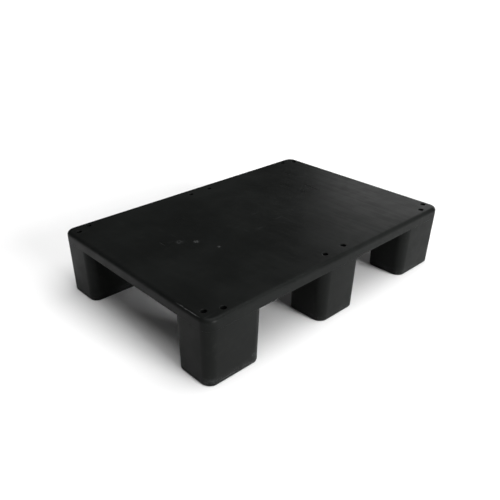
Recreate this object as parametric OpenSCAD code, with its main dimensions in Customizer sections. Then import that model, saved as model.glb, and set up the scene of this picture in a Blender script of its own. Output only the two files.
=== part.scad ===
// Closed-deck display pallet on six screwed-on feet, 600 x 400 x 120.
// Origin: centre of the footprint on the floor. +X runs along the long side, +Y along the short
// side and +Z up. The front is the long side at -Y, and left is at -X.

/* [Deck] */
// Length of the long side
deck_l = 600; // [560:5:640]
// Length of the short side
deck_w = 400; // [380:5:440]
// Height of the deck surface above the floor
deck_z = 120; // [110:1:150]
// Height of the band round the deck's edge
band_h = 20; // [18:1:24]
// Radius of the deck's corners, seen from above
deck_corner_r = 19; // [17:0.5:22]
// Radius rolled along the deck's top edge
deck_edge_r = 7; // [2:0.5:8]
// Radius on the lower lip of the band
lip_r = 0.5; // [0.3:0.1:2]
// Thickness of the deck panel's sheet and rim
panel_t = 3.5; // [3:0.5:5]

/* [Frame under the deck] */
// Thickness of the ribs
rib_t = 2.5; // [2:0.5:4]
// Number of ribs that cross the deck from front to rear
cross_ribs = 12; // [12:1:15]
// Number of ribs that run along the deck
long_ribs = 8; // [8:1:10]
// Thickness of the six plates that the feet bear on
seat_t = 3.5; // [3:0.5:5]
// Gap between the frame and the panel's rim
frame_gap = 0.3; // [0.2:0.1:0.6]

/* [Feet] */
// Length of a corner foot along the long side
foot_l = 107.5; // [100:0.5:112]
// Length of a middle foot along the long side
mid_foot_l = 93.5; // [88:0.5:100]
// Width of every foot across the pallet
foot_w = 77; // [74:0.5:84]
// Distance from the deck's edge to a foot's outer wall, at the sole
foot_inset = 2.5; // [1.5:0.1:6]
// Step left between the deck's edge and the top of a foot's drafted wall
foot_step = 0.2; // [0.2:0.1:1]
// Radius of a foot's upright corners
foot_corner_r = 16.5; // [15:0.5:19]
// Radius along a foot's bottom edge
sole_edge_r = 3; // [1:0.5:3]
// Thickness of a foot's walls and floor
foot_t = 3.5; // [3:0.5:4.5]
// Depth of the shallow recess in the sole
sole_recess = 1.2; // [0.6:0.2:2]
// Width of the land round the sole's recess
sole_land = 11; // [8:0.5:14]

/* [Screws] */
// Diameter of the screw wells in the deck
well_d = 10; // [9.4:0.2:11]
// Corner well nearer the short side: distance from the short edge
well_a_short = 16.5; // [15:0.5:19]
// Corner well nearer the short side: distance from the long edge
well_a_long = 27.5; // [26:0.5:32]
// Corner well nearer the long side: distance from the short edge
well_b_short = 43; // [41:0.5:46]
// Corner well nearer the long side: distance from the long edge
well_b_long = 15.5; // [15:0.5:19]
// Middle wells: distance from the foot's centre line
well_m_off = 24; // [21:0.5:26]
// Middle wells: distance from the long edge
well_m_long = 22.5; // [21:0.5:26]
// Thread diameter
screw_d = 5; // [4:0.5:5.5]
// Length under the head
screw_l = 20; // [18:1:24]
// Head diameter
head_d = 8.5; // [8:0.1:9]
// Head height
head_h = 5; // [4:0.5:5.5]
// Hexagon socket, across its flats
socket_af = 4; // [3:0.5:4]
// Thickness of frame that each screw clamps
clamp_t = 6; // [5:0.5:7]

/* [Threaded inserts] */
// Outer diameter of the insert's barrel
insert_d = 7.4; // [7:0.2:8]
// Length of the insert
insert_l = 12; // [10:1:14]
// Diameter of the insert's flange
insert_flange_d = 9.6; // [9:0.2:10.4]
// Thickness of the insert's flange
insert_flange_t = 1; // [0.8:0.1:1.4]

/* [Hidden] */
$fn = 96;

eps = 0.01;
foot_h = deck_z - band_h;
sheet_z = deck_z - panel_t;
frame_h = sheet_z - foot_h;
frame_inset = panel_t + frame_gap;
frame_r = deck_corner_r - frame_inset;

// Outer diameters of the round towers
well_tower_d = well_d + 5;
boss_d = 14;
// Locating pegs on top of the inner side of each foot, and their sockets in the frame
peg_d = 9;
peg_h = 9;
peg_inset = 17;
socket_d = peg_d + 0.4;
socket_tower_d = socket_d + 5;
// Width of the lead-in round each screw well
well_lead = 0.8;
// Bore for the insert, and the blind depth left under it for the screw's tip
insert_gap = 0.05;
boss_bore_l = screw_l - clamp_t + 4;
thread_gap = 0.05;

// Screw and peg places of the front left foot and the front middle foot, seen from the deck's centre
corner_wells = [
  [-deck_l / 2 + well_a_short, -deck_w / 2 + well_a_long],
  [-deck_l / 2 + well_b_short, -deck_w / 2 + well_b_long],
];
middle_wells = [for (side = [-1, 1]) [side * well_m_off, -deck_w / 2 + well_m_long]];
foot_mid_y = -deck_w / 2 + foot_inset + foot_w / 2;
peg_dy = foot_w / 2 - peg_inset;
corner_pegs = [
  for (side = [-1, 1]) [-deck_l / 2 + foot_inset + foot_l - peg_inset, foot_mid_y + side * peg_dy]
];
middle_pegs = [for (side = [-1, 1]) [side * well_m_off, foot_mid_y + peg_dy]];

// How much further out a foot's drafted wall stands at its top than at the sole
foot_draft = foot_inset - foot_step;

// Rectangle about the origin with true round corners
module rounded_rect(l, w, r) {
  square([l - 2 * r, w], center = true);
  square([l, w - 2 * r], center = true);
  for (x = [-1, 1], y = [-1, 1])
    translate([x * (l / 2 - r), y * (w / 2 - r)]) circle(r);
}

module rounded_plate(l, w, r, h) {
  linear_extrude(h) rounded_rect(l, w, r);
}

// Upright half-section of a block's outer edge, rounded at the top and bottom
module edge_section(depth, h, top_r, bottom_r) {
  translate([0, bottom_r]) square([depth, h - top_r - bottom_r]);
  square([depth - bottom_r, h - top_r]);
  translate([depth - bottom_r, bottom_r]) circle(bottom_r);
  if (top_r > 0) {
    square([depth - top_r, h]);
    translate([depth - top_r, h - top_r]) circle(top_r);
  }
}

// Wedge that leans the section's outer side out from low_z to the top
module draft_section(depth, h, out, low_z) {
  polygon([[depth - eps, low_z], [depth, low_z], [depth + out, h], [depth - eps, h]]);
}

// Carries a half-section of the given depth round a rounded rectangle and fills the middle
module swept_block(l, w, depth, h) {
  run_l = l - 2 * depth;
  run_w = w - 2 * depth;
  translate([-run_l / 2, -run_w / 2, 0]) cube([run_l, run_w, h]);
  for (side = [0, 180])
    rotate([0, 0, side]) {
      translate([-run_l / 2, run_w / 2, 0])
        rotate([90, 0, 90]) linear_extrude(run_l) children();
      translate([run_l / 2, run_w / 2, 0])
        rotate([90, 0, 0]) linear_extrude(run_w) children();
      translate([run_l / 2, run_w / 2, 0])
        rotate_extrude(angle = 90) children();
      translate([-run_l / 2, run_w / 2, 0])
        rotate([0, 0, 90]) rotate_extrude(angle = 90) children();
    }
}

// Repeats a feature of the front left corner, or of the front side, at another corner or side
module at_corner(side_x, side_y) {
  mirror([side_x > 0 ? 1 : 0, 0, 0])
    mirror([0, side_y > 0 ? 1 : 0, 0]) children();
}

module at_each(points) {
  for (p = points) translate([p[0], p[1], 0]) children();
}

module at_all_feet(corner_points, middle_points) {
  for (side_y = [-1, 1]) {
    for (side_x = [-1, 1]) at_corner(side_x, side_y) at_each(corner_points) children();
    at_corner(-1, side_y) at_each(middle_points) children();
  }
}

// Smooth sheet with a rolled rim, open below, pierced by the screw wells
module deck_panel() {
  color([0.06, 0.06, 0.065])
    difference() {
      translate([0, 0, foot_h])
        swept_block(deck_l, deck_w, deck_corner_r, band_h)
          edge_section(deck_corner_r, band_h, deck_edge_r, lip_r);
      translate([0, 0, foot_h - 1])
        rounded_plate(
          deck_l - 2 * panel_t, deck_w - 2 * panel_t,
          deck_corner_r - panel_t, frame_h + 1
        );
      at_all_feet(corner_wells, middle_wells) {
        translate([0, 0, sheet_z - 1]) cylinder(h = panel_t + 2, d = well_d);
        translate([0, 0, deck_z - well_lead])
          cylinder(h = well_lead + eps, d1 = well_d, d2 = well_d + 2 * well_lead);
      }
    }
}

// Ribs between the perimeter wall of the frame, evenly spaced
module rib_grid() {
  run_l = deck_l - 2 * frame_inset;
  run_w = deck_w - 2 * frame_inset;
  for (i = [1 : cross_ribs])
    translate([-run_l / 2 + i * run_l / (cross_ribs + 1) - rib_t / 2, -run_w / 2 + rib_t / 2, 0])
      cube([rib_t, run_w - rib_t, frame_h]);
  for (i = [1 : long_ribs])
    translate([-run_l / 2 + rib_t / 2, -run_w / 2 + i * run_w / (long_ribs + 1) - rib_t / 2, 0])
      cube([run_l - rib_t, rib_t, frame_h]);
}

module frame_wall() {
  difference() {
    rounded_plate(deck_l - 2 * frame_inset, deck_w - 2 * frame_inset, frame_r, frame_h);
    translate([0, 0, -1])
      rounded_plate(
        deck_l - 2 * (frame_inset + rib_t), deck_w - 2 * (frame_inset + rib_t),
        frame_r - rib_t, frame_h + 2
      );
  }
}

// Plates over the feet, kept inside the frame's own outline
module seat_plates() {
  intersection() {
    rounded_plate(deck_l - 2 * frame_inset, deck_w - 2 * frame_inset, frame_r, seat_t);
    union() {
      for (side_y = [-1, 1]) {
        for (side_x = [-1, 1])
          at_corner(side_x, side_y)
            translate([-deck_l / 2 + foot_inset + foot_l / 2, foot_mid_y, 0])
              rounded_plate(foot_l, foot_w, foot_corner_r, seat_t);
        at_corner(-1, side_y)
          translate([0, foot_mid_y, 0])
            rounded_plate(mid_foot_l, foot_w, foot_corner_r, seat_t);
      }
    }
  }
}

// Ribbed grid welded under the sheet, with the screw wells and peg sockets
module deck_frame() {
  color([0.09, 0.09, 0.095])
    translate([0, 0, foot_h])
      difference() {
        union() {
          frame_wall();
          rib_grid();
          seat_plates();
          at_all_feet(corner_wells, middle_wells) cylinder(h = frame_h, d = well_tower_d);
          at_all_feet(corner_pegs, middle_pegs) cylinder(h = frame_h, d = socket_tower_d);
        }
        at_all_feet(corner_wells, middle_wells) {
          translate([0, 0, clamp_t]) cylinder(h = frame_h, d = well_d);
          translate([0, 0, -1]) cylinder(h = frame_h, d = screw_d + 0.5);
        }
        at_all_feet(corner_pegs, middle_pegs)
          translate([0, 0, -1]) cylinder(h = peg_h + 1.6, d = socket_d);
      }
}

// Hollow foot about its own centre, open at the top, with the given screw and peg places
module foot(l, wells, pegs) {
  cell_w = foot_w - 2 * foot_t;
  cell_l = l - 2 * foot_t;
  color([0.05, 0.05, 0.055])
    difference() {
      union() {
        difference() {
          swept_block(l, foot_w, foot_corner_r, foot_h) {
            edge_section(foot_corner_r, foot_h, 0, sole_edge_r);
            draft_section(foot_corner_r, foot_h, foot_draft, sole_edge_r);
          }
          translate([0, 0, foot_t + sole_recess])
            rounded_plate(cell_l, cell_w, foot_corner_r - foot_t, foot_h);
        }
        for (i = [-1, 1])
          translate([i * l / 6 - rib_t / 2, -cell_w / 2 - 1, foot_t])
            cube([rib_t, cell_w + 2, foot_h - foot_t]);
        translate([-cell_l / 2 - 1, -rib_t / 2, foot_t])
          cube([cell_l + 2, rib_t, foot_h - foot_t]);
        at_each(wells) translate([0, 0, foot_t]) cylinder(h = foot_h - foot_t, d = boss_d);
        at_each(pegs) {
          translate([0, 0, foot_t]) cylinder(h = foot_h - foot_t, d = boss_d);
          translate([0, 0, foot_h - 1]) cylinder(h = peg_h, d = peg_d);
          translate([0, 0, foot_h + peg_h - 1]) cylinder(h = 1, d1 = peg_d, d2 = peg_d - 2);
        }
      }
      translate([0, 0, -1])
        rounded_plate(
          l - 2 * sole_land, foot_w - 2 * sole_land,
          foot_corner_r - sole_land / 2, sole_recess + 1
        );
      at_each(wells) {
        translate([0, 0, foot_h - boss_bore_l])
          cylinder(h = boss_bore_l + 1, d = insert_d + 2 * insert_gap);
        translate([0, 0, foot_h - insert_flange_t])
          cylinder(h = insert_flange_t + 1, d = insert_flange_d + 2 * insert_gap);
      }
    }
}

function from_centre(points, centre) = [for (p = points) p - centre];

module corner_foot(side_x, side_y) {
  centre = [-deck_l / 2 + foot_inset + foot_l / 2, foot_mid_y];
  at_corner(side_x, side_y)
    translate([centre[0], centre[1], 0])
      foot(foot_l, from_centre(corner_wells, centre), from_centre(corner_pegs, centre));
}

module middle_foot(side_y) {
  centre = [0, foot_mid_y];
  at_corner(-1, side_y)
    translate([centre[0], centre[1], 0])
      foot(mid_foot_l, from_centre(middle_wells, centre), from_centre(middle_pegs, centre));
}

// Cap screw standing in its well, its head on the frame and its tip in the foot
module screw() {
  color([0.25, 0.25, 0.27])
    translate([0, 0, foot_h + clamp_t])
      difference() {
        union() {
          translate([0, 0, 1 - screw_l]) cylinder(h = screw_l, d = screw_d);
          translate([0, 0, -screw_l]) cylinder(h = 1 + eps, d1 = screw_d - 1.4, d2 = screw_d);
          cylinder(h = head_h - 0.5, d = head_d);
          translate([0, 0, head_h - 0.5]) cylinder(h = 0.5, d1 = head_d, d2 = head_d - 1);
        }
        translate([0, 0, head_h / 2])
          cylinder(h = head_h, r = socket_af / sqrt(3), $fn = 6);
      }
}

// Flanged brass bush let into the top of a foot's boss
module threaded_insert() {
  color([0.78, 0.6, 0.28])
    translate([0, 0, foot_h])
      difference() {
        union() {
          translate([0, 0, -insert_l]) cylinder(h = insert_l, d = insert_d - 0.8);
          translate([0, 0, -insert_l + 1]) cylinder(h = insert_l / 3, d = insert_d);
          translate([0, 0, -insert_l * 0.55]) cylinder(h = insert_l * 0.45, d = insert_d);
          translate([0, 0, -insert_flange_t]) cylinder(h = insert_flange_t, d = insert_flange_d);
        }
        translate([0, 0, -insert_l - 1]) cylinder(h = insert_l + 2, d = screw_d + 2 * thread_gap);
      }
}

module corner_screws(side_x, side_y) {
  at_corner(side_x, side_y) at_each(corner_wells) screw();
}

module middle_screws(side_y) {
  at_corner(-1, side_y) at_each(middle_wells) screw();
}

module corner_inserts(side_x, side_y) {
  at_corner(side_x, side_y) at_each(corner_wells) threaded_insert();
}

module middle_inserts(side_y) {
  at_corner(-1, side_y) at_each(middle_wells) threaded_insert();
}

deck_panel();
deck_frame();
corner_foot(-1, -1);  // foot_front_left
middle_foot(-1);  // foot_front_middle
corner_foot(1, -1);  // foot_front_right
corner_foot(-1, 1);  // foot_rear_left
middle_foot(1);  // foot_rear_middle
corner_foot(1, 1);  // foot_rear_right
corner_screws(-1, -1);  // screws_front_left
middle_screws(-1);  // screws_front_middle
corner_screws(1, -1);  // screws_front_right
corner_screws(-1, 1);  // screws_rear_left
middle_screws(1);  // screws_rear_middle
corner_screws(1, 1);  // screws_rear_right
corner_inserts(-1, -1);  // inserts_front_left
middle_inserts(-1);  // inserts_front_middle
corner_inserts(1, -1);  // inserts_front_right
corner_inserts(-1, 1);  // inserts_rear_left
middle_inserts(1);  // inserts_rear_middle
corner_inserts(1, 1);  // inserts_rear_right
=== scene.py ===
# A small closed-deck plastic pallet on six feet: looks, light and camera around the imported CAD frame.
# Lengths are in metres and angles in degrees, unless a note says otherwise.
import math
import bpy
import numpy as np
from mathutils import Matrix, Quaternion, Vector


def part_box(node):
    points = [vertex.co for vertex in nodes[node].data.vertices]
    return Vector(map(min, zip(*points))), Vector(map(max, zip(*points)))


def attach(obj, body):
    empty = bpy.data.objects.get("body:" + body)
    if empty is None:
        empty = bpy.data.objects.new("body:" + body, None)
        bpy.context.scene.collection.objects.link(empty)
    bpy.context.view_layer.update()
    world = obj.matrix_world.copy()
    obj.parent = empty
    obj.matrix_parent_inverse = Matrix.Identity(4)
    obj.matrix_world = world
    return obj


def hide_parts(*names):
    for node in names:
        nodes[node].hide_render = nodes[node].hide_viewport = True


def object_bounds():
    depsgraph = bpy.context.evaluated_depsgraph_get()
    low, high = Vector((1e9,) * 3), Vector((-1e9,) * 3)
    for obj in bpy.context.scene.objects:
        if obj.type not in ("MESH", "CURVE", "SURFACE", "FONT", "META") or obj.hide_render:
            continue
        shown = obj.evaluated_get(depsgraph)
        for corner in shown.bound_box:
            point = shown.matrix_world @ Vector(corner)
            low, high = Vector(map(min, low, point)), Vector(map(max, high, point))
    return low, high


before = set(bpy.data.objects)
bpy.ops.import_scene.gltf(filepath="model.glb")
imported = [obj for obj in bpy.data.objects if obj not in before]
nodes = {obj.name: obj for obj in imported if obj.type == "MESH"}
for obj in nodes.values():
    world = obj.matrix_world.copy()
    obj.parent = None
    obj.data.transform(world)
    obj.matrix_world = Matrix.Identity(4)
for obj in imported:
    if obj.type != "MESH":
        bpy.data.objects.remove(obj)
cadLow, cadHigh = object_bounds()
mm = 0.001
tiny = 1e-6  # smallest difference between two places
placeDigits = 5  # grid lines are rounded to hundredths of a millimetre
sharpAngle = 32  # edges that fold more than this are creases
places = [f"{row}_{column}" for row in ("front", "rear") for column in ("left", "middle", "right")]
print("stage: frame loaded,", len(nodes), "nodes")

# lens and sensor in mm, shift in widths of the picture
view = {
    "azimuth": -42.93, "elevation": 28.80, "roll": 0.33, "distance": 1.1079, "aim": (-0.0553, 0.0062, 0.040),
    "lens": 41.99, "sensor": 36.0, "shift": (0.0278, 0.0256), "clip": (0.05, 60),
}


def direction(azimuth, elevation):
    # unit vector from the pallet towards a place; azimuth 0 is straight in front, 90 is at the right
    a, e = math.radians(azimuth), math.radians(elevation)
    return Vector((math.sin(a) * math.cos(e), -math.cos(a) * math.cos(e), math.sin(e)))


def makeCamera(spec):
    data = bpy.data.cameras.new("camera")
    data.lens = spec["lens"]
    data.sensor_width = spec["sensor"]
    data.shift_x, data.shift_y = spec["shift"]
    data.clip_start, data.clip_end = spec["clip"]
    obj = bpy.data.objects.new("camera", data)
    back = direction(spec["azimuth"], spec["elevation"])
    level = (-back).to_track_quat("-Z", "Y")
    obj.location = Vector(spec["aim"]) + back * spec["distance"]
    obj.rotation_mode = "QUATERNION"
    obj.rotation_quaternion = level @ Quaternion((0, 0, 1), math.radians(spec["roll"]))
    bpy.context.scene.collection.objects.link(obj)
    bpy.context.scene.camera = obj


makeCamera(view)
print("stage: camera")

shiftPath = (1.0, 0.7, 0.3)  # the slant along which a noise pattern is shifted


def newMaterial(name):
    mat = bpy.data.materials.new(name)
    mat.use_nodes = True
    tree = mat.node_tree
    return mat, tree, tree.nodes["Principled BSDF"]


def feed(tree, socket, value):
    # a socket takes a number, a colour or another node's output
    if isinstance(value, bpy.types.NodeSocket):
        tree.links.new(value, socket)
    else:
        socket.default_value = value


def maths(tree, operation, first, second=0.0, clamp=False):
    node = tree.nodes.new("ShaderNodeMath")
    node.operation = operation
    node.use_clamp = clamp
    feed(tree, node.inputs[0], first)
    feed(tree, node.inputs[1], second)
    return node.outputs[0]


def noise(tree, coords, scale, detail=3.0, roughness=0.55, stretch=(1, 1, 1), turn=0.0, shift=0.0):
    # cloudy noise: stretch scales it along each axis, turn spins it about Z (radians), shift moves it aslant
    mapping = tree.nodes.new("ShaderNodeMapping")
    mapping.inputs["Location"].default_value = [shift * part for part in shiftPath]
    mapping.inputs["Rotation"].default_value = (0, 0, turn)
    mapping.inputs["Scale"].default_value = stretch
    tree.links.new(coords, mapping.inputs["Vector"])
    node = tree.nodes.new("ShaderNodeTexNoise")
    node.inputs["Scale"].default_value = scale
    node.inputs["Detail"].default_value = detail
    node.inputs["Roughness"].default_value = roughness
    tree.links.new(mapping.outputs["Vector"], node.inputs["Vector"])
    return node.outputs["Fac"]


def ramp(tree, source, low, high, lowValue=0.0, highValue=1.0):
    # eases from lowValue to highValue while the source goes from low to high
    node = tree.nodes.new("ShaderNodeMapRange")
    node.interpolation_type = "SMOOTHSTEP"
    feed(tree, node.inputs["Value"], source)
    for name, value in (("From Min", low), ("From Max", high), ("To Min", lowValue), ("To Max", highValue)):
        node.inputs[name].default_value = value
    return node.outputs["Result"]


def mixColour(tree, factor, first, second):
    # sockets 6 and 7 take the two colours, and output 2 gives the mixed one
    node = tree.nodes.new("ShaderNodeMix")
    node.data_type = "RGBA"
    feed(tree, node.inputs[0], factor)
    feed(tree, node.inputs[6], first)
    feed(tree, node.inputs[7], second)
    return node.outputs[2]


def keptNoise(tree, coords, name, lowValue=0.0, highValue=1.0):
    # one of the named patterns: the kept range of its noise is spread over the two values
    look = dict(patterns[name])
    keep = look.pop("keep")
    return ramp(tree, noise(tree, coords, **look), *keep, lowValue, highValue)


def parts(tree, coords):
    # the X, Y and Z of a place, one by one
    node = tree.nodes.new("ShaderNodeSeparateXYZ")
    tree.links.new(coords, node.inputs[0])
    return node.outputs


def shade(colour, gain=1.0):
    return (*[c * gain for c in colour], 1)


# noise patterns: scale in features per metre, and the range of the noise that is kept
patterns = {
    "grit": {"scale": 420.0, "roughness": 0.7, "keep": (0.47, 0.62)},
    "wander": {"scale": 60.0, "detail": 2.0, "shift": 8.1, "keep": (0.2, 0.8)},
    "gaps": {"scale": 240.0, "roughness": 0.7, "shift": 5.2, "keep": (0.34, 0.60)},
    "specks": {"scale": 430.0, "roughness": 0.7, "shift": 6.1, "keep": (0.52, 0.64)},
    "levelScratch": {"scale": 330.0, "roughness": 0.6, "stretch": (0.12, 0.12, 1.0), "shift": 2.8,
                     "keep": (0.55, 0.66)},
    "solePatch": {"scale": 24.0, "detail": 2.0, "shift": 6.6, "keep": (0.38, 0.62)},
    "hairAlongX": {"scale": 260.0, "detail": 2.0, "roughness": 0.6, "stretch": (0.05, 1.0, 1.0), "turn": 0.30,
                   "shift": 1.3, "keep": (0.68, 0.76)},
    "hairAlongY": {"scale": 300.0, "detail": 2.0, "roughness": 0.6, "stretch": (1.0, 0.06, 1.0), "turn": 0.12,
                   "shift": 5.9, "keep": (0.69, 0.77)},
    "hairPatch": {"scale": 11.0, "detail": 2.0, "shift": 9.4, "keep": (0.45, 0.65)},
    "dust": {"scale": 90.0, "detail": 5.0, "roughness": 0.7, "shift": 2.2, "keep": (0.50, 0.80)},
    "mottle": {"scale": 34.0, "shift": 3.1, "keep": (0.35, 0.65)},
    "streaks": {"scale": 150.0, "roughness": 0.6, "stretch": (1.0, 0.04, 1.0), "shift": 1.7,
                "keep": (0.38, 0.62)},
}
blackPlastic = {
    "deck": {"colour": (0.0052, 0.0057, 0.0054), "roughness": 0.38, "grain": 0.30, "scratch": 0.55,
             "dust": 0.10, "streak": 0.035},
    "frame": {"colour": (0.0066, 0.0066, 0.0068), "roughness": 0.56, "grain": 0.40, "scratch": 0.10,
              "dust": 0.20, "streak": 0.0},
    "foot": {"colour": (0.0052, 0.0057, 0.0054), "roughness": 0.42, "grain": 0.35, "scratch": 0.35,
             "dust": 0.25, "streak": 0.0},
}
# what all the plastic shares: the clouds' ranges and gain, how far each pattern moves colour or roughness,
# and the heights of the bumps
plasticFinish = {
    "cloud": {"scale": 7.0, "detail": 4.0}, "cloudColour": (0.35, 0.70), "cloudGain": 1.45,
    "cloudRough": (0.30, 0.70), "cloudSpread": 0.05, "mottleSpread": 0.035,
    "dustColour": 0.35, "dustRough": 0.20, "scratchColour": 0.30, "paleRough": 0.25,
    "ior": 1.49, "specular": 0.055,
    "ripple": {"scale": 16.0, "detail": 2.0, "shift": 7.7},
    "fineRipple": {"scale": 60.0, "detail": 2.0, "shift": 3.9}, "fineRippleShare": 0.22,
    "rippleStrength": 0.35, "rippleHeight": 0.0006,
    "grain": {"scale": 1500.0, "detail": 2.0}, "grainHeight": 0.00005, "scratchCut": 1.5,
}
scuffColour = (0.085, 0.087, 0.088, 1)
dustColour = (0.060, 0.058, 0.054, 1)

# pale marks rubbed into the plastic: place, radius, how strong; markCore is the share of the radius where a
# mark is full
markCore = 0.25
deckMarks = [
    {"at": (-0.153, 0.002, 0.120), "radius": 0.0075, "strength": 0.9},
    {"at": (-0.137, -0.039, 0.120), "radius": 0.0050, "strength": 0.9},
    {"at": (-0.176, 0.020, 0.120), "radius": 0.0100, "strength": 0.35},
]
footMarks = [
    {"at": (-0.201, -0.197, 0.007), "radius": 0.0050, "strength": 1.0},
    {"at": (-0.206, -0.197, 0.017), "radius": 0.0080, "strength": 0.45},
    {"at": (-0.226, -0.197, 0.004), "radius": 0.0100, "strength": 0.40},
]
# a pale line painted along the rolled left edge near the front corner: core and fade are shares of its half
# width and length, gap is what is left of it where it breaks up
deckPaleLine = {
    "x": -0.2972, "from": -0.184, "to": -0.124, "halfWidth": 0.0006, "wander": 0.0004, "strength": 0.95,
    "core": 0.3, "fade": 0.3, "gap": 0.25,
}
# rubbing along the bottom of the feet: how high it reaches, how strong, the share of the height where it is
# full, and what is left of it between the patches
soleRub = {"height": 0.020, "strength": 0.45, "core": 0.15, "between": 0.25}


def speckMask(tree, coords, marks):
    # each mark is a round patch, broken up by fine noise into specks
    total = None
    for mark in marks:
        node = tree.nodes.new("ShaderNodeVectorMath")
        node.operation = "DISTANCE"
        tree.links.new(coords, node.inputs[0])
        node.inputs[1].default_value = mark["at"]
        reach = mark["radius"]
        disc = ramp(tree, node.outputs["Value"], reach * markCore, reach, mark["strength"], 0.0)
        total = disc if total is None else maths(tree, "MAXIMUM", total, disc)
    return maths(tree, "MULTIPLY", keptNoise(tree, coords, "grit"), total)


def lineMask(tree, coords, line):
    # a thin line along Y that wanders a little, fades at both ends and breaks up on the way
    x, y, _ = parts(tree, coords)
    wander = keptNoise(tree, coords, "wander", -line["wander"], line["wander"])
    offset = maths(tree, "ABSOLUTE", maths(tree, "SUBTRACT", maths(tree, "ADD", x, wander), line["x"]))
    across = ramp(tree, offset, line["halfWidth"] * line["core"], line["halfWidth"], 1.0, 0.0)
    fade = (line["to"] - line["from"]) * line["fade"]
    along = maths(tree, "MULTIPLY", ramp(tree, y, line["from"], line["from"] + fade),
                  ramp(tree, y, line["to"] - fade, line["to"], 1.0, 0.0))
    broken = keptNoise(tree, coords, "gaps", line["gap"], line["strength"])
    return maths(tree, "MULTIPLY", maths(tree, "MULTIPLY", across, along), broken)


def soleMask(tree, coords, rub):
    # specks and short level scratches that thin out with height above the floor
    z = parts(tree, coords)[2]
    height = ramp(tree, z, rub["height"] * rub["core"], rub["height"], rub["strength"], 0.0)
    patches = keptNoise(tree, coords, "solePatch", rub["between"], 1.0)
    worn = maths(tree, "MAXIMUM", keptNoise(tree, coords, "specks"), keptNoise(tree, coords, "levelScratch"))
    return maths(tree, "MULTIPLY", maths(tree, "MULTIPLY", height, patches), worn)


def plasticColour(tree, spec, finish, cloud, dust, pale):
    # cloudy black, a little dust over it, and the pale marks on top
    base = mixColour(tree, ramp(tree, cloud, *finish["cloudColour"]),
                     shade(spec["colour"]), shade(spec["colour"], finish["cloudGain"]))
    base = mixColour(tree, maths(tree, "MULTIPLY", dust, finish["dustColour"]), base, dustColour)
    return mixColour(tree, pale, base, scuffColour)


def plasticRoughness(tree, coords, spec, finish, cloud, dust, pale):
    # clouds, mottling and faint streaks along Y either side of the even value, then rougher dust and marks
    even, spread = spec["roughness"], finish["cloudSpread"]
    mottle = finish["mottleSpread"]
    extra = [
        keptNoise(tree, coords, "mottle", -mottle, mottle),
        maths(tree, "MULTIPLY", dust, finish["dustRough"]),
        maths(tree, "MULTIPLY", keptNoise(tree, coords, "streaks", -1.0, 1.0), spec["streak"]),
    ]
    total = ramp(tree, cloud, *finish["cloudRough"], even - spread, even + spread)
    for part in extra:
        total = maths(tree, "ADD", total, part)
    return maths(tree, "ADD", total, maths(tree, "MULTIPLY", pale, finish["paleRough"]), True)


def bump(tree, height, strength, distance, below=None):
    node = tree.nodes.new("ShaderNodeBump")
    node.inputs["Strength"].default_value = strength
    node.inputs["Distance"].default_value = distance
    tree.links.new(height, node.inputs["Height"])
    if below:
        tree.links.new(below, node.inputs["Normal"])
    return node.outputs["Normal"]


def plasticMaterial(name, spec, finish, marks=(), extraMask=None):
    mat, tree, shader = newMaterial(name)
    coords = tree.nodes.new("ShaderNodeTexCoord").outputs["Object"]
    cloud = noise(tree, coords, **finish["cloud"])
    dust = maths(tree, "MULTIPLY", keptNoise(tree, coords, "dust"), spec["dust"])
    # hairline scratches: two families of stretched noise, only their crests kept
    hair = maths(tree, "MAXIMUM",
                 keptNoise(tree, coords, "hairAlongX"), keptNoise(tree, coords, "hairAlongY"))
    scratch = maths(tree, "MULTIPLY", maths(tree, "MULTIPLY", hair, keptNoise(tree, coords, "hairPatch")),
                    spec["scratch"])
    pale = maths(tree, "MULTIPLY", scratch, finish["scratchColour"])
    if marks:
        pale = maths(tree, "MAXIMUM", pale, speckMask(tree, coords, marks))
    if extraMask:
        maskOf, settings = extraMask
        pale = maths(tree, "MAXIMUM", pale, maskOf(tree, coords, settings))
    colour = plasticColour(tree, spec, finish, cloud, dust, pale)
    rough = plasticRoughness(tree, coords, spec, finish, cloud, dust, pale)
    tree.links.new(colour, shader.inputs["Base Color"])
    tree.links.new(rough, shader.inputs["Roughness"])
    shader.inputs["IOR"].default_value = finish["ior"]
    shader.inputs["Specular IOR Level"].default_value = finish["specular"]

    # slow ripples of the moulding, then its grain with the scratches cut in
    fineRipple = noise(tree, coords, **finish["fineRipple"])
    ripple = maths(tree, "ADD", noise(tree, coords, **finish["ripple"]),
                   maths(tree, "MULTIPLY", fineRipple, finish["fineRippleShare"]))
    swell = bump(tree, ripple, finish["rippleStrength"], finish["rippleHeight"])
    cut = maths(tree, "MULTIPLY", scratch, finish["scratchCut"])
    fine = maths(tree, "SUBTRACT", noise(tree, coords, **finish["grain"]), cut)
    tree.links.new(bump(tree, fine, spec["grain"], finish["grainHeight"], swell), shader.inputs["Normal"])
    return mat


metal = {
    "screw": {"colour": (0.10, 0.10, 0.11), "roughness": 0.38},
    "insert": {"colour": (0.72, 0.53, 0.25), "roughness": 0.32},
}
metalFinish = {
    "smear": {"scale": 700.0}, "smearColour": (0.35, 0.70), "smearGain": 0.7,
    "smearRough": (0.3, 0.7), "smearSpread": 0.08,
    "grain": {"scale": 5000.0, "detail": 2.0}, "grainStrength": 0.25, "grainHeight": 0.00002,
}


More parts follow.
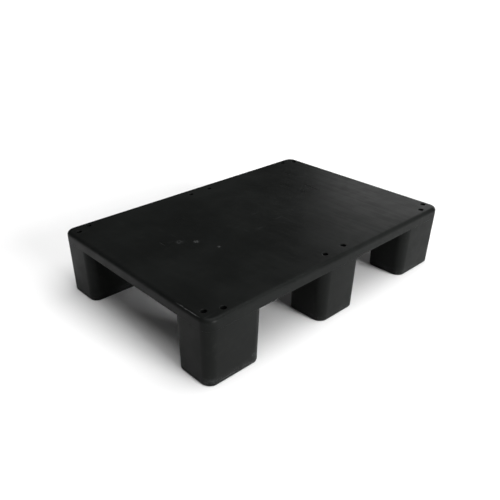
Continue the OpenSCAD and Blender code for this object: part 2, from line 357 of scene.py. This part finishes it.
def metalMaterial(name, spec, finish):
    mat, tree, shader = newMaterial(name)
    coords = tree.nodes.new("ShaderNodeTexCoord").outputs["Object"]
    smear = noise(tree, coords, **finish["smear"])
    colour = mixColour(tree, ramp(tree, smear, *finish["smearColour"]),
                       shade(spec["colour"]), shade(spec["colour"], finish["smearGain"]))
    rough = ramp(tree, smear, *finish["smearRough"],
                 spec["roughness"] - finish["smearSpread"], spec["roughness"] + finish["smearSpread"])
    grain = bump(tree, noise(tree, coords, **finish["grain"]), finish["grainStrength"], finish["grainHeight"])
    tree.links.new(colour, shader.inputs["Base Color"])
    tree.links.new(rough, shader.inputs["Roughness"])
    tree.links.new(grain, shader.inputs["Normal"])
    shader.inputs["Metallic"].default_value = 1.0
    return mat


deckMaterial = plasticMaterial("deckPlastic", blackPlastic["deck"], plasticFinish,
                               deckMarks, (lineMask, deckPaleLine))
frameMaterial = plasticMaterial("framePlastic", blackPlastic["frame"], plasticFinish)
footMaterial = plasticMaterial("footPlastic", blackPlastic["foot"], plasticFinish,
                               footMarks, (soleMask, soleRub))
screwMaterial = metalMaterial("blackSteel", metal["screw"], metalFinish)
brassMaterial = metalMaterial("brass", metal["insert"], metalFinish)
print("stage: materials")


def strip(first, second):
    # quads between two closed loops of vertex numbers, each listed the same way round
    return np.stack([first, np.roll(first, -1), np.roll(second, -1), second], 1)


def fan(loop, centre):
    # triangles from a closed loop to one vertex
    return np.stack([loop, np.roll(loop, -1), np.full(len(loop), centre)], 1)


def meshPiece(name, points, faceSets, mat, node, creaseAngle=sharpAngle):
    # drops unused vertices, makes the object, marks its creases and hands it to the frame
    used = np.unique(np.concatenate([f.ravel() for f in faceSets]))
    lookup = np.full(len(points), -1)
    lookup[used] = np.arange(len(used))
    faces = [row for f in faceSets for row in lookup[f].tolist()]
    mesh = bpy.data.meshes.new(name)
    mesh.from_pydata(np.asarray(points)[used].tolist(), [], faces)
    mesh.polygons.foreach_set("use_smooth", np.ones(len(faces), bool))
    mesh.set_sharp_from_angle(angle=math.radians(creaseAngle))
    mesh.materials.append(mat)
    obj = bpy.data.objects.new(name, mesh)
    bpy.context.scene.collection.objects.link(obj)
    even = obj.modifiers.new("evenNormals", "WEIGHTED_NORMAL")
    even.keep_sharp = True
    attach(obj, "root")
    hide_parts(node)


def screwCentres(place):
    # the two screws of a foot stand apart along X, so each half of the node's points is one screw
    co = np.array([v.co for v in nodes["screws_" + place].data.vertices], float)
    middle = (co[:, 0].min() + co[:, 0].max()) / 2
    halves = [co[co[:, 0] < middle], co[co[:, 0] >= middle]]
    return [(half.min(0)[:2] + half.max(0)[:2]) / 2 for half in halves]


wellCentres = [centre for place in places for centre in screwCentres(place)]

# deck panel: a flat sheet with a rolled rim, pierced by the screw wells; patch is half the side of the grid
# square that each well takes up, and innerShare is how far up the band's inside one more ring runs
deckPanel = {
    "edgeRadius": 7.0 * mm, "planRadius": 19.0 * mm, "lipRadius": 0.5 * mm, "thickness": 3.5 * mm,
    "wellRadius": 5.0 * mm, "wellLead": 0.8 * mm, "patch": 6.5 * mm, "leadSteps": 4,
    "fineStep": 2.2 * mm, "coarseStep": 8.0 * mm, "leastStep": 0.2 * mm,
    "rollSteps": 8, "bandSteps": 5, "innerShare": 0.3,
    "sag": 0.30 * mm, "seed": 7, "waves": 14, "waveLengths": (0.07, 0.30),
    "sagStart": 6.0 * mm, "sagFade": 50.0 * mm,
}


def gridLines(half, cornerRadius, centres, spec):
    # lines at the edges, the corner squares and both sides of every well, then filled in between
    keys = [-half, half, cornerRadius - half, half - cornerRadius]
    keys += [c + side * spec["patch"] for c in centres for side in (-1, 1)]
    keys = np.unique(np.round(keys, placeDigits))
    keys = keys[np.concatenate([[True], np.diff(keys) > spec["leastStep"]])]
    lines = [keys[:1]]
    for low, high in zip(keys[:-1], keys[1:]):
        middle = (low + high) / 2
        near = abs(middle) > half - cornerRadius or any(abs(middle - c) < spec["patch"] for c in centres)
        count = max(1, math.ceil((high - low) / (spec["fineStep"] if near else spec["coarseStep"])))
        lines.append(np.linspace(low, high, count + 1)[1:])
    return np.concatenate(lines)


def roundCorners(x, y, halfX, halfY, radius):
    # the square of side radius in each corner becomes a quarter disc: the larger of the two offsets is
    # the distance from the disc's centre, and their ratio turns it from one side to the other
    u, v = (np.abs(x) - halfX + radius) / radius, (np.abs(y) - halfY + radius) / radius
    corner = (u > tiny) & (v > tiny)
    u, v = np.where(corner, u, 1.0), np.where(corner, v, 1.0)
    angle = np.where(u >= v, math.pi / 4 * v / u, math.pi / 2 - math.pi / 4 * u / v)
    reach = radius * np.maximum(u, v)
    newX = np.where(corner, np.sign(x) * (halfX - radius + reach * np.cos(angle)), x)
    newY = np.where(corner, np.sign(y) * (halfY - radius + reach * np.sin(angle)), y)
    normalX = np.where(corner, np.sign(x) * np.cos(angle), np.where(np.abs(x) > halfX - tiny, np.sign(x), 0))
    normalY = np.where(corner, np.sign(y) * np.sin(angle), np.where(np.abs(y) > halfY - tiny, np.sign(y), 0))
    return newX, newY, normalX, normalY


def deckSag(x, y, spec):
    # how far the thin sheet lies below a true plane: a sum of slow waves, faded out towards the edges
    rng = np.random.default_rng(spec["seed"])
    total = np.zeros_like(x)
    for _ in range(spec["waves"]):
        length = rng.uniform(*spec["waveLengths"])
        angle, phase = rng.uniform(0, 2 * math.pi, 2)
        total += np.sin(2 * math.pi * (x * math.cos(angle) + y * math.sin(angle)) / length + phase) * length
    total = (total - total.min()) / (total.max() - total.min())
    edge = np.minimum(cadHigh.x - np.abs(x), cadHigh.y - np.abs(y))
    return spec["sag"] * total * np.clip((edge - spec["sagStart"]) / spec["sagFade"], 0, 1)


def makeDeckPanel(spec):
    # a square grid bent to the panel's plan, a rim carried round its edge as a profile of offsets and
    # heights, the same grid again as the underside, and rings that join a square gap in both to each well
    halfX, halfY = (round(side - spec["edgeRadius"], placeDigits) for side in (cadHigh.x, cadHigh.y))
    flatRadius = spec["planRadius"] - spec["edgeRadius"]
    top, under, bottom = cadHigh.z, cadHigh.z - spec["thickness"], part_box("deck_panel")[0].z
    xs = gridLines(halfX, flatRadius, [c[0] for c in wellCentres], spec)
    ys = gridLines(halfY, flatRadius, [c[1] for c in wellCentres], spec)
    gridX, gridY = np.meshgrid(xs, ys)
    number = np.arange(gridX.size).reshape(gridX.shape)
    x, y, nx, ny = (a.ravel() for a in roundCorners(gridX, gridY, halfX, halfY, flatRadius))
    edge = np.concatenate([number[0, :-1], number[:-1, -1], number[-1, :0:-1], number[:0:-1, 0]])

    # rim: offset from the flat's edge and height, down the roll, the band and the lip, then up inside
    r, lip = spec["edgeRadius"], spec["lipRadius"]
    inner = r - spec["thickness"]
    roll = np.linspace(0, math.pi / 2, spec["rollSteps"] + 1)[1:]
    lipTurn = roll[1::2]
    bandX = np.full(spec["bandSteps"], r)
    bandZ = np.linspace(top - r, bottom + lip, spec["bandSteps"] + 1)[1:]
    insideZ = [bottom, bottom + spec["innerShare"] * (under - bottom)]
    profileX = np.concatenate([r * np.sin(roll), bandX, r - lip * (1 - np.cos(lipTurn)), [inner, inner]])
    profileZ = np.concatenate([top - r * (1 - np.cos(roll)), bandZ, bottom + lip * (1 - np.sin(lipTurn)),
                               insideZ])
    rimX = x[edge][None] + profileX[:, None] * nx[edge][None]
    rimY = y[edge][None] + profileX[:, None] * ny[edge][None]
    rimZ = np.repeat(profileZ[:, None], len(edge), 1)

    # underside of the sheet: the same grid, its edge moved out to the rim's inner wall
    lowX, lowY = x.copy(), y.copy()
    lowX[edge] += inner * nx[edge]
    lowY[edge] += inner * ny[edge]
    count = x.size
    points = [np.stack([x, y, np.full(count, top)], 1), np.stack([lowX, lowY, np.full(count, under)], 1),
              np.stack([rimX.ravel(), rimY.ravel(), rimZ.ravel()], 1)]
    rimNumber = 2 * count + np.arange(rimX.size).reshape(rimX.shape)
    loops = [edge, *rimNumber, edge + count]
    faces = [strip(lower, upper) for upper, lower in zip(loops[:-1], loops[1:])]

    # wells: rings between each square patch of the sheet and the round wall inside it
    keep = np.ones((len(ys) - 1, len(xs) - 1), bool)
    start = 2 * count + rimX.size
    lead = np.linspace(0, math.pi / 2, spec["leadSteps"] + 1)
    ringR = np.append(spec["wellRadius"] + spec["wellLead"] * (1 - np.sin(lead)), spec["wellRadius"])
    ringZ = np.append(top - spec["wellLead"] * (1 - np.cos(lead)), under)
    for centre in wellCentres:
        i0, i1 = (int(np.abs(xs - centre[0] - side * spec["patch"]).argmin()) for side in (-1, 1))
        j0, j1 = (int(np.abs(ys - centre[1] - side * spec["patch"]).argmin()) for side in (-1, 1))
        keep[j0:j1, i0:i1] = False
        square = np.concatenate([number[j0, i0:i1], number[j0:j1, i1],
                                 number[j1, i1:i0:-1], number[j1:j0:-1, i0]])
        angle = np.arctan2(y[square] - centre[1], x[square] - centre[0])
        ringX = centre[0] + ringR[:, None] * np.cos(angle)
        ringY = centre[1] + ringR[:, None] * np.sin(angle)
        points.append(np.stack([ringX, ringY, np.repeat(ringZ[:, None], len(angle), 1)], 2).reshape(-1, 3))
        rings = start + np.arange(ringX.size).reshape(ringX.shape)
        start += ringX.size
        loops = [square, *rings, square + count]
        faces += [strip(a, b) for a, b in zip(loops[:-1], loops[1:])]

    cells = np.stack([number[:-1, :-1], number[:-1, 1:], number[1:, 1:], number[1:, :-1]], 2)[keep]
    faces += [cells, cells[:, ::-1] + count]
    points = np.concatenate(points)
    lift = np.clip((points[:, 2] - under) / (top - under), 0, 1)
    points[:, 2] -= lift * deckSag(points[:, 0], points[:, 1], spec)
    meshPiece("deckPanel", points, faces, deckMaterial, "deck_panel")


makeDeckPanel(deckPanel)
print("stage: deck panel")

# screws and inserts: profiles carried round an upright axis, sizes in mm; pole is the radius of the small
# ring where a profile meets the axis
capScrew = {
    "headRadius": 4.25, "headHeight": 5.0, "headRound": 0.5, "headChamfer": 0.3, "arcSteps": 4,
    "socketRadius": 2.0, "socketDepth": 2.5, "socketCone": 0.5, "floorShare": 0.97, "floorRise": 0.05,
    "hexagonTop": 0.35, "leadStart": 0.1, "leadShares": (1.17, 1.23),
    "knurlDepth": 0.22, "knurlRidges": 32, "knurlTop": 0.7, "knurlBottom": 1.1, "knurlEnd": 0.9,
    "shankRadius": 2.5, "length": 20.0, "plainShank": 3.2, "shankFillet": 0.3,
    "pitch": 0.8, "threadDepth": 0.46, "threadStart": 0.3, "threadEnd": 0.8, "tipRise": 0.1, "tipCut": 0.75,
    "rowsPerTurn": 6, "steps": 64, "pole": 0.05, "creaseAngle": 40,
}
brassInsert = {
    "flangeRadius": 4.8, "flangeHeight": 1.0, "bevel": 0.1, "barrelRadius": 3.7, "grooveRadius": 3.3,
    "length": 12.0, "endBevel": 0.2, "knurlBands": ((1.2, 6.6), (7.0, 11.0)), "knurlMargin": 0.3,
    "knurlDepth": 0.3, "knurlTeeth": 16, "knurlPitch": 1.6, "knurlRows": 22,
    "boreGap": 0.05, "belowSeat": 6.0, "steps": 96, "creaseAngle": 22,
}


def triangleWave(turns):
    # falls from 1 to 0 and climbs back to 1 within each whole turn
    return np.abs(2 * (turns % 1.0) - 1)


def threadCut(angle, z, spec):
    # depth of a right-hand helical groove at this angle and height
    return spec["threadDepth"] * triangleWave(z / spec["pitch"] - angle / (2 * math.pi))


def hexagonReach(angle):
    # how much further than its flats a hexagon reaches at this angle
    return 1 / np.cos((angle + math.pi / 6) % (math.pi / 3) - math.pi / 6)


def turned(reach, angle, z):
    # rings of points: each at its reach from the upright axis, at its angle and height
    return np.stack([reach * np.cos(angle), reach * np.sin(angle), z + 0 * angle], 2)


def anglesRound(steps):
    # even angles once round, as one row
    return np.linspace(0, 2 * math.pi, steps, endpoint=False)[None]


def screwSurface(spec):
    # rings from the bottom of the socket, over the head and down the thread to the tip: each has a height,
    # a radius, and how far it is hexagonal, knurled and threaded
    head, tall, bend = spec["headRadius"], spec["headHeight"], spec["headRound"]
    socket, floor = spec["socketRadius"], tall - spec["socketDepth"]
    shank, plain, tip = spec["shankRadius"], -spec["plainShank"], -spec["length"]
    chamfer, fillet = spec["headChamfer"], spec["shankFillet"]
    lead, mouth = (socket * share for share in spec["leadShares"])
    arc = np.linspace(0, math.pi / 2, spec["arcSteps"] + 1)
    rings = [(floor - spec["socketCone"], spec["pole"], 0, 0, 0),
             (floor, socket * spec["floorShare"], 1, 0, 0), (floor + spec["floorRise"], socket, 1, 0, 0),
             (tall - spec["hexagonTop"], socket, 1, 0, 0), (tall - spec["leadStart"], lead, 0, 0, 0),
             (tall, mouth, 0, 0, 0)]
    rings += [(tall - bend * (1 - math.cos(t)), head - bend * (1 - math.sin(t)), 0, 0, 0) for t in arc]
    rings += [(tall - spec["knurlTop"], head, 0, 1, 0), (spec["knurlBottom"], head, 0, 1, 0),
              (spec["knurlEnd"], head, 0, 0, 0), (chamfer, head, 0, 0, 0), (0.0, head - chamfer, 0, 0, 0),
              (0.0, shank + fillet, 0, 0, 0), (-fillet, shank, 0, 0, 0), (plain, shank, 0, 0, 0)]
    threadTop, threadFoot = plain - spec["threadStart"], tip + spec["threadEnd"]
    rows = round((threadTop - threadFoot) / spec["pitch"] * spec["rowsPerTurn"])
    rings += [(z, shank, 0, 0, 1) for z in np.linspace(threadTop, threadFoot, rows)]
    rings += [(tip + spec["tipRise"], shank - spec["tipCut"], 0, 0, 0), (tip, spec["pole"], 0, 0, 0)]
    z, radius, hexagonal, knurled, threaded = (column[:, None] for column in np.array(rings).T)
    angle = anglesRound(spec["steps"])
    reach = radius * (1 + hexagonal * (hexagonReach(angle) - 1))
    reach -= knurled * spec["knurlDepth"] * triangleWave(angle * spec["knurlRidges"] / (2 * math.pi))
    reach -= threaded * threadCut(angle, z, spec)
    return turned(reach, angle, z)


def insertSurface(spec, screw):
    # rings down the outside of the flanged barrel and back up the threaded bore; the knurl is two families
    # of slanted grooves, and the thread is the screw's own with a small gap
    long, flange, wide, bevel = spec["length"], spec["flangeHeight"], spec["flangeRadius"], spec["bevel"]
    barrel, groove = spec["barrelRadius"], spec["grooveRadius"]
    end, margin = spec["endBevel"], spec["knurlMargin"]
    rings = [(0.0, wide - bevel, 0), (-bevel, wide, 0), (bevel - flange, wide, 0),
             (-flange, wide - bevel, 0), (-flange, barrel, 0)]
    for upper, lower in spec["knurlBands"]:
        rings += [(-upper, groove, 0), (-upper - end, barrel, 0)]
        rings += [(-z, barrel, 1) for z in np.linspace(upper + margin, lower - margin, spec["knurlRows"])]
        rings += [(-lower + end, barrel, 0), (-lower, groove, 0)]
    rings += [(-long + end, groove, 0), (-long, groove - end, 0)]
    z, radius, knurled = (column[:, None] for column in np.array(rings).T)
    angle = anglesRound(spec["steps"])
    teeth, climb = angle * spec["knurlTeeth"] / (2 * math.pi), z / spec["knurlPitch"]
    knurl = np.maximum(triangleWave(teeth + climb), triangleWave(teeth - climb))
    outer = turned(radius - knurled * spec["knurlDepth"] * knurl, angle, z)

    rows = round(long / screw["pitch"] * screw["rowsPerTurn"])
    z = np.linspace(-long, 0, rows)[:, None]
    bore = screw["shankRadius"] + spec["boreGap"]
    return np.concatenate([outer, turned(bore - threadCut(angle, z - spec["belowSeat"], screw), angle, z)])


def ringFaces(surface, closedLoop):
    # quads between neighbouring rings; a closed loop joins the last ring to the first, and a surface that is
    # not one gets a fan of triangles at both ends
    count = surface.shape[0] * surface.shape[1]
    number = np.arange(count).reshape(surface.shape[:2])
    faces = [strip(lower, upper) for upper, lower in zip(number[:-1], number[1:])]
    if closedLoop:
        return faces + [strip(number[0], number[-1])], surface.reshape(-1, 3)
    middle = surface.mean(1)
    points = np.concatenate([surface.reshape(-1, 3), middle[:1], middle[-1:]])
    return faces + [fan(number[0], count), fan(number[-1][::-1], count + 1)], points


def makePair(surface, closedLoop, place, name, seat, mat, node, creaseAngle):
    # the same shape at both screw places of a foot, as two separate solids in one piece
    faces, local = ringFaces(surface, closedLoop)
    points, faceSets = [], []
    for turn, centre in enumerate(screwCentres(place)):
        points.append(local * mm + [*centre, seat])
        faceSets += [f + turn * len(local) for f in faces]
    meshPiece(name, np.concatenate(points), faceSets, mat, node, creaseAngle)


screwShape = screwSurface(capScrew)
insertShape = insertSurface(brassInsert, capScrew)
for place in places:
    ends = place.title().replace("_", "")
    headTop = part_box("screws_" + place)[1].z
    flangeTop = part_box("inserts_" + place)[1].z
    makePair(screwShape, False, place, "capScrews" + ends, headTop - capScrew["headHeight"] * mm,
             screwMaterial, "screws_" + place, capScrew["creaseAngle"])
    makePair(insertShape, True, place, "brassInserts" + ends, flangeTop,
             brassMaterial, "inserts_" + place, brassInsert["creaseAngle"])
print("stage: screws and inserts")


weldGap = 0.02 * mm


def finishNode(obj, mat):
    # joins the triangles of a CAD piece for smooth shading, and keeps its creases
    obj.data.materials.clear()
    obj.data.materials.append(mat)
    obj.data.polygons.foreach_set("use_smooth", np.ones(len(obj.data.polygons), bool))
    weld = obj.modifiers.new("weld", "WELD")
    weld.merge_threshold = weldGap
    split = obj.modifiers.new("sharpEdges", "EDGE_SPLIT")
    split.split_angle = math.radians(sharpAngle)


for name, obj in nodes.items():
    if name.startswith("foot_"):
        finishNode(obj, footMaterial)
    elif name == "deck_frame":
        finishNode(obj, frameMaterial)
print("stage: CAD pieces finished")


# pale floor, dim room with a lighter ceiling, two broad glows and a window at the right end
studio = {
    "floor": {"size": 30.0, "colour": (0.86, 0.86, 0.86, 1), "roughness": 0.9, "specular": 0.1},
    "room": {"walls": 0.05, "ceiling": 0.30, "ceilingFrom": 0.55, "ceilingFull": 0.85, "backdrop": 1.0},
    "overhead": {"name": "overheadGlow", "azimuth": 28, "elevation": 74, "angle": 62, "watts": 2.75},
    "front": {"name": "frontGlow", "azimuth": 8, "elevation": 12, "angle": 30, "watts": 4.6},
    "window": {"name": "window", "azimuth": 104, "elevation": 10, "distance": 3.4, "aim": (0.0, 0.0, 0.1),
               "size": (2.6, 1.0), "watts": 24},
}


def makeFloor(spec):
    mesh = bpy.data.meshes.new("floor")
    half = spec["size"] / 2
    corners = [(x * half, y * half, 0) for x, y in ((-1, -1), (1, -1), (1, 1), (-1, 1))]
    mesh.from_pydata(corners, [], [(0, 1, 2, 3)])
    obj = bpy.data.objects.new("floor", mesh)
    bpy.context.scene.collection.objects.link(obj)
    mat, _, shader = newMaterial("paleFloor")
    shader.inputs["Base Color"].default_value = spec["colour"]
    shader.inputs["Roughness"].default_value = spec["roughness"]
    shader.inputs["Specular IOR Level"].default_value = spec["specular"]
    mesh.materials.append(mat)


def makeRoom(spec):
    # a dim room whose ceiling is lighter than its walls, with a pale backdrop behind the floor's edge
    world = bpy.data.worlds.new("room")
    world.use_nodes = True
    tree = world.node_tree
    height = parts(tree, tree.nodes.new("ShaderNodeTexCoord").outputs["Generated"])[2]
    glow = ramp(tree, height, spec["ceilingFrom"], spec["ceilingFull"], spec["walls"], spec["ceiling"])
    cameraRay = tree.nodes.new("ShaderNodeLightPath").outputs["Is Camera Ray"]
    seen = maths(tree, "MULTIPLY", cameraRay, spec["backdrop"])
    background = tree.nodes["Background"]
    tree.links.new(maths(tree, "MAXIMUM", glow, seen), background.inputs["Strength"])
    background.inputs["Color"].default_value = (1.0, 1.0, 1.0, 1)
    bpy.context.scene.world = world


def makeLight(kind, spec, place, aim):
    data = bpy.data.lights.new(spec["name"], kind)
    data.energy = spec["watts"]
    obj = bpy.data.objects.new(spec["name"], data)
    obj.location = place
    obj.rotation_euler = (Vector(aim) - place).to_track_quat("-Z", "Y").to_euler()
    bpy.context.scene.collection.objects.link(obj)
    return data


def makeLights(spec):
    for glow in (spec["overhead"], spec["front"]):
        sun = makeLight("SUN", glow, direction(glow["azimuth"], glow["elevation"]), (0, 0, 0))
        sun.angle = math.radians(glow["angle"])
    window = spec["window"]
    place = Vector(window["aim"]) + direction(window["azimuth"], window["elevation"]) * window["distance"]
    panel = makeLight("AREA", window, place, window["aim"])
    panel.shape = "RECTANGLE"
    panel.size, panel.size_y = window["size"]


makeFloor(studio["floor"])
makeRoom(studio["room"])
makeLights(studio)
bpy.context.scene.view_settings.view_transform = "Standard"
print("stage: studio")
